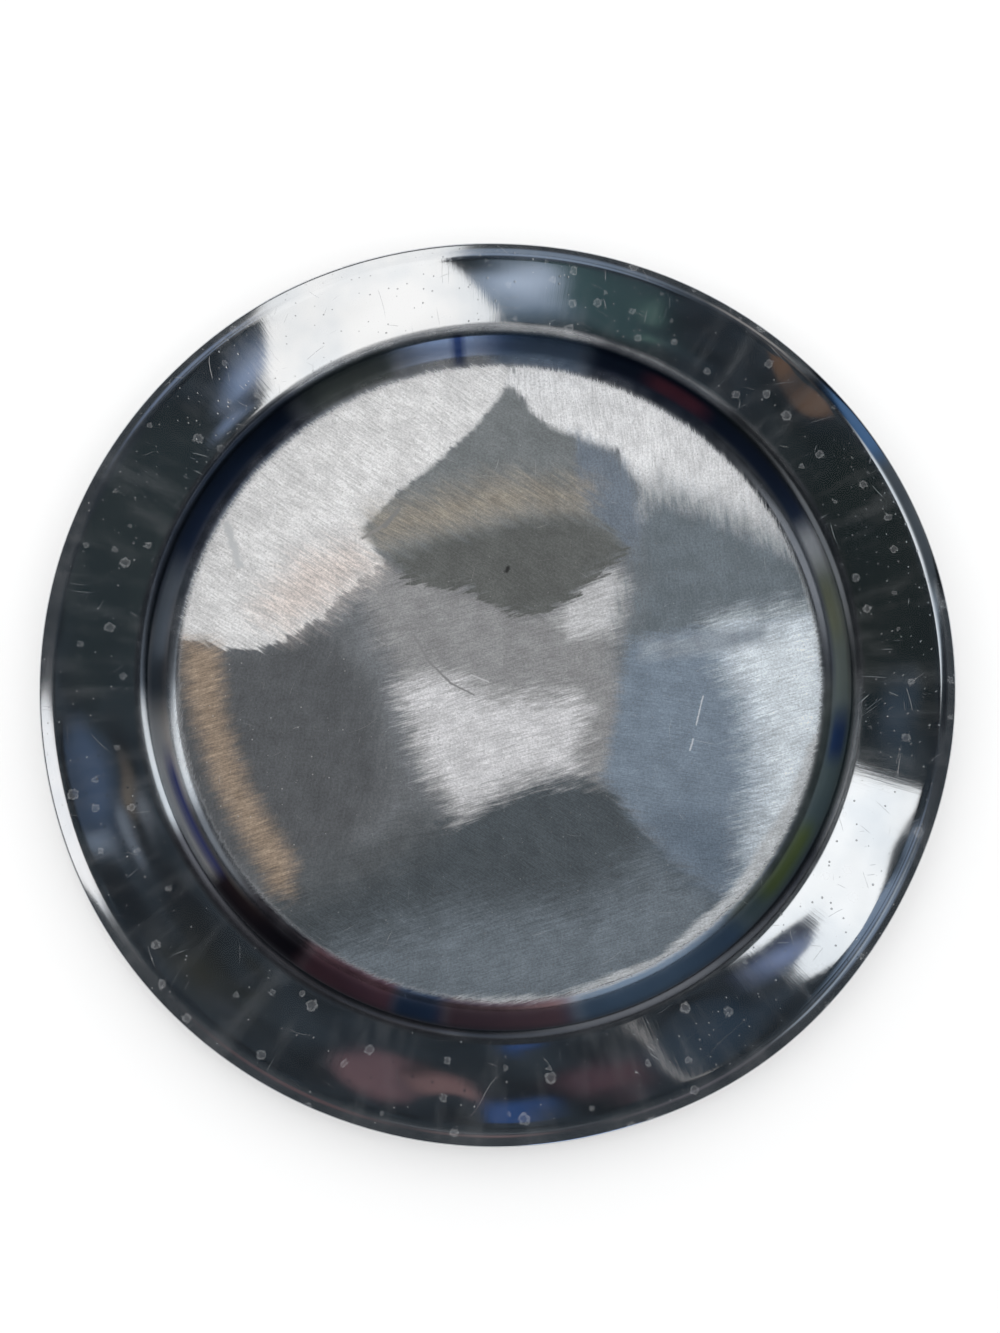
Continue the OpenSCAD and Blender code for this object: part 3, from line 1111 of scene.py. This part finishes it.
def plate_mesh(s):
    """The whole plate as one closed surface, with its patches' reaches, its span and its flat map."""
    points, zones = section(s)
    inner = points[1:-1]
    azimuth = np.arange(s.around) * (2 * math.pi / s.around)
    outward, upward = hand_work(inner, azimuth, s)
    grid = revolve(inner, azimuth, outward, upward)
    rings = len(inner)
    poles = np.array([[0, 0, points[0, 1]], [0, 0, points[-1, 1]]])
    places = np.vstack([grid.reshape(-1, 3), poles])
    quads, first_fan, last_fan = shell_faces(rings, s.around)

    mesh = bpy.data.meshes.new(PIECE)
    mesh.from_pydata(places.tolist(), [], quads.tolist() + first_fan.tolist() + last_fan.tolist())

    back_ring = np.argmax(zones[1:-1] == STRETCHES.index("back"))
    is_back = np.concatenate([
        np.repeat(np.arange(rings - 1) >= back_ring - 1, s.around),
        np.zeros(s.around, bool),
        np.ones(s.around, bool),
    ])
    mesh.polygons.foreach_set("material_index", is_back.astype(np.int32))
    mesh.polygons.foreach_set("use_smooth", np.ones(len(is_back), bool))

    steps = np.hypot(*np.diff(points, axis=0).T)
    station = np.concatenate([[0.0], np.cumsum(steps)])
    span = np.concatenate([np.repeat(station[1:-1], s.around), station[[0, -1]]]) / MM
    keep_number(mesh, "span", span)
    x, y = places[:, 0] / MM, places[:, 1] / MM
    for name, outline, *_ in PATCHES:
        keep_number(mesh, name, reach_inside(x, y, outline))
    degrees = np.degrees(np.arctan2(y, x))
    keep_number(mesh, "wear", wear(degrees, span))
    # Painted reflections and painted shade, kept on the mesh for the face's material.
    dim = painted_reflection_tint(degrees, span).astype(np.float32)
    mesh.attributes.new("painted_reflection_tint", "FLOAT_COLOR", "POINT").data.foreach_set("color", dim.ravel())
    flat_map(mesh, places, is_back, s)
    mesh.validate()
    mesh.update()
    return mesh


def keep_number(mesh, name, values):
    """Keeps one number for each vertex, for the material to read."""
    mesh.attributes.new(name, "FLOAT", "POINT").data.foreach_set("value", values.astype(np.float32))


# Width of the flat map, in diameters of the plate.
MAP_WIDTH = 2.1


def flat_map(mesh, places, is_back, s):
    """A map of two discs side by side: the face seen from above and the back seen from below.

    A corner at (x, y) goes to (1/4 + x / w, 1/4 + y / w), where w is the map's width, and one of the
    back to (3/4 - x / w, 3/4 + y / w).
    """
    corners = np.empty(len(mesh.loops), np.int32)
    mesh.loops.foreach_get("vertex_index", corners)
    totals = np.empty(len(mesh.polygons), np.int32)
    mesh.polygons.foreach_get("loop_total", totals)
    back = np.repeat(is_back, totals)
    x, y = places[corners, 0], places[corners, 1]
    scale = 1 / (MAP_WIDTH * s.plate_d)
    u = np.where(back, 0.75 - x * scale, 0.25 + x * scale)
    v = np.where(back, 0.75, 0.25) + y * scale
    layer = mesh.uv_layers.new(name="OFBake")
    layer.uv.foreach_set("vector", np.stack([u, v], -1).astype(np.float32).ravel())


class SERVING_PLATE_OT_plate(bpy.types.Operator):
    """Makes the plate with its polished and brushed finish"""

    bl_idname = "serving_plate.plate"
    bl_label = "Plate"

    def execute(self, context):
        scene = context.scene
        mesh = plate_mesh(scene.plate_sizes)
        mesh.materials.append(face_material(scene.plate_finish))
        mesh.materials.append(back_material(scene.plate_finish))
        plate = bpy.data.objects.new(PIECE, mesh)
        scene.collection.objects.link(plate)
        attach(plate, BODY)
        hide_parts(NODE)
        return {"FINISHED"}


# The stage

# Where the camera stands and what it looks at, in millimetres, and the width of its sensor.
CAMERA_AT, CAMERA_AIM = (-13.5, -59.05, 342.75), (-1.45, -2.13, 14.05)
SENSOR_WIDTH = 36.0

# White cards that the rim mirrors, at one height: name, corners in millimetres, brightness, colour.
CARD_HEIGHT = 600
WHITE_CARDS = (
    (
        "card_upper",
        ((-46, 162), (-54, 178), (-64, 200), (-74, 224), (-160, 348), (-350, 650), (-1400, 2600),
         (-110, 2700), (-30, 650), (-5, 345), (-6, 250), (5, 234), (13, 217), (19, 199), (18, 176),
         (-16, 172)),
        1.12, (1.0, 0.99, 0.965),
    ),
    (
        "card_right",
        ((176, 53), (172, 43), (166, 34), (157, 15), (155, 6), (154, -8), (148, -14), (139, -17), (127, -20),
         (121, -14), (118, -6), (121, 3), (119, 14), (113, 22), (106, 19), (98, 12), (88, 18), (108, 73)),
        1.15, (0.98, 1.0, 1.0),
    ),
    (
        "card_edge",
        ((63, 1), (63, -5), (66, -11), (71, -18), (79, -28), (84.5, -37), (88, -44), (93, -51), (99.5, -58),
         (107, -65), (106, -67), (98, -59.5), (91.5, -52), (86, -44.5), (82.5, -37.5), (77, -29), (69, -19),
         (64, -11.5), (61, -5), (61, 1)),
        0.36, (1.0, 0.96, 0.93),
    ),
    (
        "card_left",
        ((-330, 50), (-300, -100), (-560, -250), (-2600, -1000), (-2600, 150)),
        1.1, (1.0, 1.0, 1.0),
    ),
    (
        "card_far_right",
        ((228, 76), (190, 186), (800, 860), (2200, 2000), (2600, 1100), (1240, 440)),
        1.1, (0.92, 0.97, 1.0),
    ),
)
# The round lamp above the plate, which the metal doesn't mirror: name, place and width in
# millimetres, brightness and colour.
MIDDLE_LAMP = ("lamp_middle", (10, 86, 600), 200, 4.0, (1.0, 1.0, 1.0))
# Lamps further out: name, azimuth and angle from straight up in degrees, distance in millimetres,
# width and length in millimetres, brightness, colour, and whether the metal mirrors it. Each faces
# the plate.
LEANING_LAMPS = (
    ("lamp_far_upper", 108, 37, 1000, 420, 400, 1.1, (1.0, 0.99, 0.97), False),
    ("lamp_far_left", 190, 46, 1000, 300, 300, 1.2, (1.0, 1.0, 1.0), False),
    ("lamp_far_right", 30, 50, 1000, 150, 240, 1.2, (0.85, 0.95, 1.0), False),
    ("lamp_far_corner", 58, 46, 1000, 140, 160, 0.25, (1.0, 0.88, 0.80), True),
    ("lamp_far_front", 272, 24, 700, 200, 120, 0.25, (0.85, 0.92, 1.0), True),
    ("lamp_front_right", 334, 32, 1000, 300, 260, 0.36, (0.76, 0.87, 1.0), True),
    ("lamp_low_front", 283, 86, 1000, 260, 120, 1.1, (0.45, 0.62, 1.0), True),
)

# The dark round ceiling over the plate and the dark dome about it, in millimetres.
CEILING_HEIGHT, CEILING_RADIUS, CEILING_CORNERS, DOME_RADIUS = 620, 420, 96, 3000
# How far and how finely noise bends the tones of the dark cards, in millimetres and waves for each,
# how far clouds vary the cards' own tone, and how uneven the glow of the white cards is.
TONES_BEND, TONES_BEND_SCALE, CARD_CLOUDS, UNEVEN_GLOW = 40.0, 0.02, (0.6, 1.5), (0.95, 1.03)
# Soft patches of tone on the ceiling: centre in millimetres, radius, share of the radius that is
# soft, and colour.
CEILING_TONES = (
    (150, 130, 85, 0.7, (0.010, 0.015, 0.015)),
    (-110, 140, 80, 0.7, (0.019, 0.028, 0.031)),
    (45, 228, 50, 0.9, (0.040, 0.078, 0.085)),
    (30, 212, 26, 1.0, (0.150, 0.200, 0.260)),
    (65, 208, 7, 0.9, (0.060, 0.110, 0.100)),
    (73, 226, 8, 0.9, (0.060, 0.110, 0.100)),
    (143, 211, 16, 0.5, (0.105, 0.066, 0.046)),
    (250, 330, 48, 0.6, (0.100, 0.066, 0.048)),
    (-72, 210, 27, 1.0, (0.220, 0.290, 0.430)),
    (-215, 400, 120, 0.7, (0.170, 0.230, 0.350)),
    (40, 370, 120, 0.7, (0.220, 0.280, 0.370)),
    (-64, 180, 16, 1.0, (0.150, 0.200, 0.300)),
    (24, 230, 28, 1.0, (0.420, 0.500, 0.620)),
    (-128, 58, 30, 1.0, (0.050, 0.078, 0.130)),
    (-94, 56, 14, 0.9, (0.130, 0.110, 0.090)),
    (-80, 52, 12, 1.0, (0.130, 0.145, 0.165)),
    (-106, 44, 14, 1.0, (0.130, 0.155, 0.190)),
    (-132, 32, 16, 1.0, (0.140, 0.180, 0.240)),
    (-74, -16, 18, 0.9, (0.052, 0.068, 0.098)),
    (-76, -6, 36, 0.9, (0.026, 0.028, 0.024)),
    (-20, -42, 21, 0.6, (0.120, 0.076, 0.086)),
    (4, -47, 13, 0.6, (0.150, 0.094, 0.096)),
    (24, -66, 18, 0.7, (0.026, 0.062, 0.170)),
    (60, -44, 28, 0.8, (0.062, 0.038, 0.048)),
    (30, -8, 9, 0.9, (0.025, 0.060, 0.170)),
    (98, -30, 28, 0.8, (0.026, 0.042, 0.062)),
    (112, 10, 20, 1.0, (0.200, 0.250, 0.400)),
    (160, 84, 26, 0.9, (0.030, 0.046, 0.065)),
    (188, -14, 54, 0.5, (0.190, 0.250, 0.340)),
    (300, -80, 110, 0.8, (0.200, 0.260, 0.360)),
)
# The same on the dome, as seen from above.
DOME_TONES = (
    (1500, 1050, 600, 0.8, (0.030, 0.050, 0.070)),
    (-750, -1300, 600, 0.8, (0.090, 0.050, 0.055)),
    (80, -1500, 350, 0.9, (0.180, 0.110, 0.110)),
    (900, -1260, 500, 0.9, (0.090, 0.085, 0.100)),
    (1790, -720, 500, 0.9, (0.200, 0.260, 0.350)),
    (130, 1900, 750, 0.6, (0.160, 0.210, 0.280)),
    (-1090, 1556, 500, 0.8, (0.150, 0.200, 0.300)),
)

# How far from the plate, in millimetres, the floor starts to turn into the studio's walls, and ends.
FLOOR_FADE = (420, 1000)


def floor_material(stage):
    """Matt pale floor with a faint change of tone; far from the plate the camera sees the walls' tone."""
    material, w, shader = new_material("studio_floor")
    w.feed(shader, "Metallic", 0.0)
    w.feed(shader, "Roughness", 0.9)
    w.feed(shader, "Specular IOR Level", 0.1)
    place = w.node("ShaderNodeTexCoord").outputs["Object"]
    cloud = w.noise(place, scale=2.0, detail=2.0)
    paler = tuple(min(1.0, c * 1.01) for c in stage.floor_colour)
    w.feed(shader, "Base Color", w.tint(cloud, (*stage.floor_colour, 1.0), (*paler, 1.0)))
    away = w.spread(w.vector("LENGTH", w.millimetres()), *FLOOR_FADE)
    seen = w.math("MULTIPLY", away, w.node("ShaderNodeLightPath").outputs["Is Camera Ray"])
    walls = w.node("ShaderNodeEmission", Color=(*stage.world_colour, 1.0), Strength=1.0)
    faded = w.node("ShaderNodeMixShader", i0=seen, i1=shader.outputs[0], i2=walls.outputs[0])
    out = next(node for node in w.tree.nodes if node.bl_idname == "ShaderNodeOutputMaterial")
    w.feed(out, "Surface", faded.outputs[0])
    return material


def dark_card_material(name, stage, tones):
    """A dark card with its own faint glow and soft round patches of tone, a little out of round."""
    material, w = empty_material(name)
    place = w.flat(w.bent(w.millimetres(), TONES_BEND, TONES_BEND_SCALE, detail=2.0))
    clouds = w.varied(w.noise(place, scale=0.03, detail=3.0), *CARD_CLOUDS)
    tone = w.vector("SCALE", tuple(stage.surround), scale=clouds)
    for x, y, radius, soft, patch in tones:
        away = w.vector("DISTANCE", place, (x, y, 0.0))
        tone = w.tint(w.spread(away, radius, radius * (1 - soft)), tone, (*patch, 1.0))
    glow = w.node("ShaderNodeEmission", Color=tone, Strength=1.0)
    w.node("ShaderNodeOutputMaterial", Surface=glow.outputs[0])
    return material


def white_card_material(name, brightness, tint):
    """A white card with its own glow, a little uneven, as paper is."""
    material, w = empty_material(name)
    uneven = w.varied(w.noise(w.millimetres(), scale=0.02, detail=2.0), *UNEVEN_GLOW)
    glow = w.node("ShaderNodeEmission", Color=(*tint, 1.0), Strength=w.math("MULTIPLY", uneven, brightness))
    w.node("ShaderNodeOutputMaterial", Surface=glow.outputs[0])
    return material


def mirrored_card(name, mesh, material):
    """A card that the metal mirrors, and that neither the camera nor the matt floor sees."""
    mesh.materials.append(material)
    card = bpy.data.objects.new(name, mesh)
    card.visible_camera = card.visible_diffuse = card.visible_shadow = False
    card.visible_transmission = card.visible_volume_scatter = False
    bpy.context.scene.collection.objects.link(card)


def level_card(name, outline, height, material):
    """A level card of one face, its corners and its height given in millimetres."""
    mesh = bpy.data.meshes.new(name)
    corners = [(x * MM, y * MM, height * MM) for x, y in outline]
    mesh.from_pydata(corners, [], [list(range(len(corners)))])
    mirrored_card(name, mesh, material)


def dome_mesh(radius, rings=24, around=48):
    """A half ball that faces inwards, from straight up to the floor.

    Its corners are (r sin e cos a, r sin e sin a, r cos e), with e from straight up and a about Z.
    """
    e = np.linspace(0, math.pi / 2, rings + 1)[1:, None]
    a = np.arange(around) * (2 * math.pi / around)
    ball = np.stack([np.sin(e) * np.cos(a), np.sin(e) * np.sin(a), np.cos(e) * np.ones_like(a)], axis=-1)
    places = np.vstack([radius * ball.reshape(-1, 3), [[0, 0, radius]]])
    ring, facet = np.meshgrid(np.arange(rings - 1), np.arange(around), indexing="ij")
    after = (facet + 1) % around
    here, beyond = ring * around, (ring + 1) * around
    quads = np.stack([here + facet, here + after, beyond + after, beyond + facet], axis=-1).reshape(-1, 4)
    spoke = np.arange(around)
    fan = np.stack([np.full(around, rings * around), (spoke + 1) % around, spoke], axis=-1)
    mesh = bpy.data.meshes.new("dark_cards")
    mesh.from_pydata(places.tolist(), [], quads.tolist() + fan.tolist())
    mesh.polygons.foreach_set("use_smooth", np.ones(len(mesh.polygons), bool))
    return mesh


def soft_box(name, width, height, brightness, tint):
    """A rectangular lamp whose face has that brightness: its power is pi times brightness times area."""
    light = bpy.data.lights.new(name, "AREA")
    light.shape = "RECTANGLE"
    light.size, light.size_y = width * MM, height * MM
    light.energy = brightness * math.pi * light.size * light.size_y
    light.color = tint
    lamp = bpy.data.objects.new(name, light)
    lamp.visible_camera = False
    bpy.context.scene.collection.objects.link(lamp)
    return lamp


def add_floor(stage):
    """The pale floor that the plate stands on."""
    half = stage.floor_size / 2
    mesh = bpy.data.meshes.new("studio_floor")
    corners = [(-half, -half, 0), (half, -half, 0), (half, half, 0), (-half, half, 0)]
    mesh.from_pydata(corners, [], [(0, 1, 2, 3)])
    mesh.materials.append(floor_material(stage))
    floor = bpy.data.objects.new("studio_floor", mesh)
    bpy.context.scene.collection.objects.link(floor)


def add_cards(stage):
    """The dark dome, the dark ceiling below it and the white cards, which the metal mirrors."""
    dome_tones = dark_card_material("dark_cards", stage, DOME_TONES)
    mirrored_card("dark_cards", dome_mesh(DOME_RADIUS * MM), dome_tones)
    turn = np.linspace(0, 2 * math.pi, CEILING_CORNERS, endpoint=False)
    ceiling = CEILING_RADIUS * np.stack([np.cos(turn), -np.sin(turn)], axis=-1)
    ceiling_tones = dark_card_material("dark_ceiling", stage, CEILING_TONES)
    level_card("dark_ceiling", ceiling.tolist(), CEILING_HEIGHT, ceiling_tones)
    for name, outline, brightness, tint in WHITE_CARDS:
        level_card(name, outline, CARD_HEIGHT, white_card_material(name, brightness, tint))


def add_world(stage):
    """The studio's pale walls, which the metal doesn't mirror."""
    world = bpy.data.worlds.new("studio")
    world.use_nodes = True
    background = world.node_tree.nodes["Background"]
    background.inputs["Color"].default_value = (*stage.world_colour, 1.0)
    background.inputs["Strength"].default_value = 1.0
    world.cycles_visibility.glossy = False
    bpy.context.scene.world = world


def add_lamps():
    """The round lamp above the plate, and the lamps further out, each turned to face the plate."""
    name, at, across, brightness, tint = MIDDLE_LAMP
    lamp = soft_box(name, across, across, brightness, tint)
    lamp.data.shape = "DISK"
    lamp.data.energy *= math.pi / 4
    lamp.visible_glossy = False
    lamp.location = Vector(at) * MM
    for name, azimuth, lean, away, width, height, brightness, tint, mirrored in LEANING_LAMPS:
        lamp = soft_box(name, width, height, brightness, tint)
        lamp.visible_glossy = mirrored
        a, e = math.radians(azimuth), math.radians(lean)
        heading = Vector((math.sin(e) * math.cos(a), math.sin(e) * math.sin(a), math.cos(e)))
        facing = (-heading).to_track_quat("-Z", "Y").to_matrix().to_4x4()
        lamp.matrix_world = Matrix.Translation(heading * away * MM) @ facing


def add_camera(stage):
    """The camera, with the plate's +Y upwards in its picture."""
    data = bpy.data.cameras.new("camera")
    data.lens, data.sensor_width = stage.lens, SENSOR_WIDTH
    camera = bpy.data.objects.new("camera", data)
    at, aim = Vector(CAMERA_AT) * MM, Vector(CAMERA_AIM) * MM
    back = (at - aim).normalized()
    upward = (Vector((0, 1, 0)) - back * back.y).normalized()
    right = upward.cross(back)
    turn = Matrix((right, upward, back)).transposed().to_4x4()
    camera.matrix_world = Matrix.Translation(at) @ turn
    bpy.context.scene.collection.objects.link(camera)
    bpy.context.scene.camera = camera


class SERVING_PLATE_OT_stage(bpy.types.Operator):
    """Makes the pale floor, the lamps, the dark and the white cards, and the camera"""

    bl_idname = "serving_plate.stage"
    bl_label = "Stage"

    def execute(self, context):
        stage = context.scene.plate_stage
        add_floor(stage)
        add_cards(stage)
        add_world(stage)
        context.scene.view_settings.view_transform = "Standard"
        add_lamps()
        add_camera(stage)
        return {"FINISHED"}


class SERVING_PLATE_PT_panel(bpy.types.Panel):
    """Shows the buttons that make the plate and its stage"""

    bl_idname = "SERVING_PLATE_PT_panel"
    bl_label = "Serving plate"
    bl_space_type = "VIEW_3D"
    bl_region_type = "UI"
    bl_category = "Serving plate"

    def draw(self, context):
        for operator in (SERVING_PLATE_OT_plate, SERVING_PLATE_OT_stage):
            self.layout.operator(operator.bl_idname)


CLASSES = (
    PlateSizes,
    PlateFinish,
    PlateStage,
    SERVING_PLATE_OT_plate,
    SERVING_PLATE_OT_stage,
    SERVING_PLATE_PT_panel,
)


def register():
    for cls in CLASSES:
        bpy.utils.register_class(cls)
    bpy.types.Scene.plate_sizes = PointerProperty(type=PlateSizes)
    bpy.types.Scene.plate_finish = PointerProperty(type=PlateFinish)
    bpy.types.Scene.plate_stage = PointerProperty(type=PlateStage)


def unregister():
    del bpy.types.Scene.plate_stage
    del bpy.types.Scene.plate_finish
    del bpy.types.Scene.plate_sizes
    for cls in reversed(CLASSES):
        bpy.utils.unregister_class(cls)


def main():
    register()
    bpy.ops.serving_plate.plate()
    bpy.ops.serving_plate.stage()


if __name__ == "__main__":
    main()
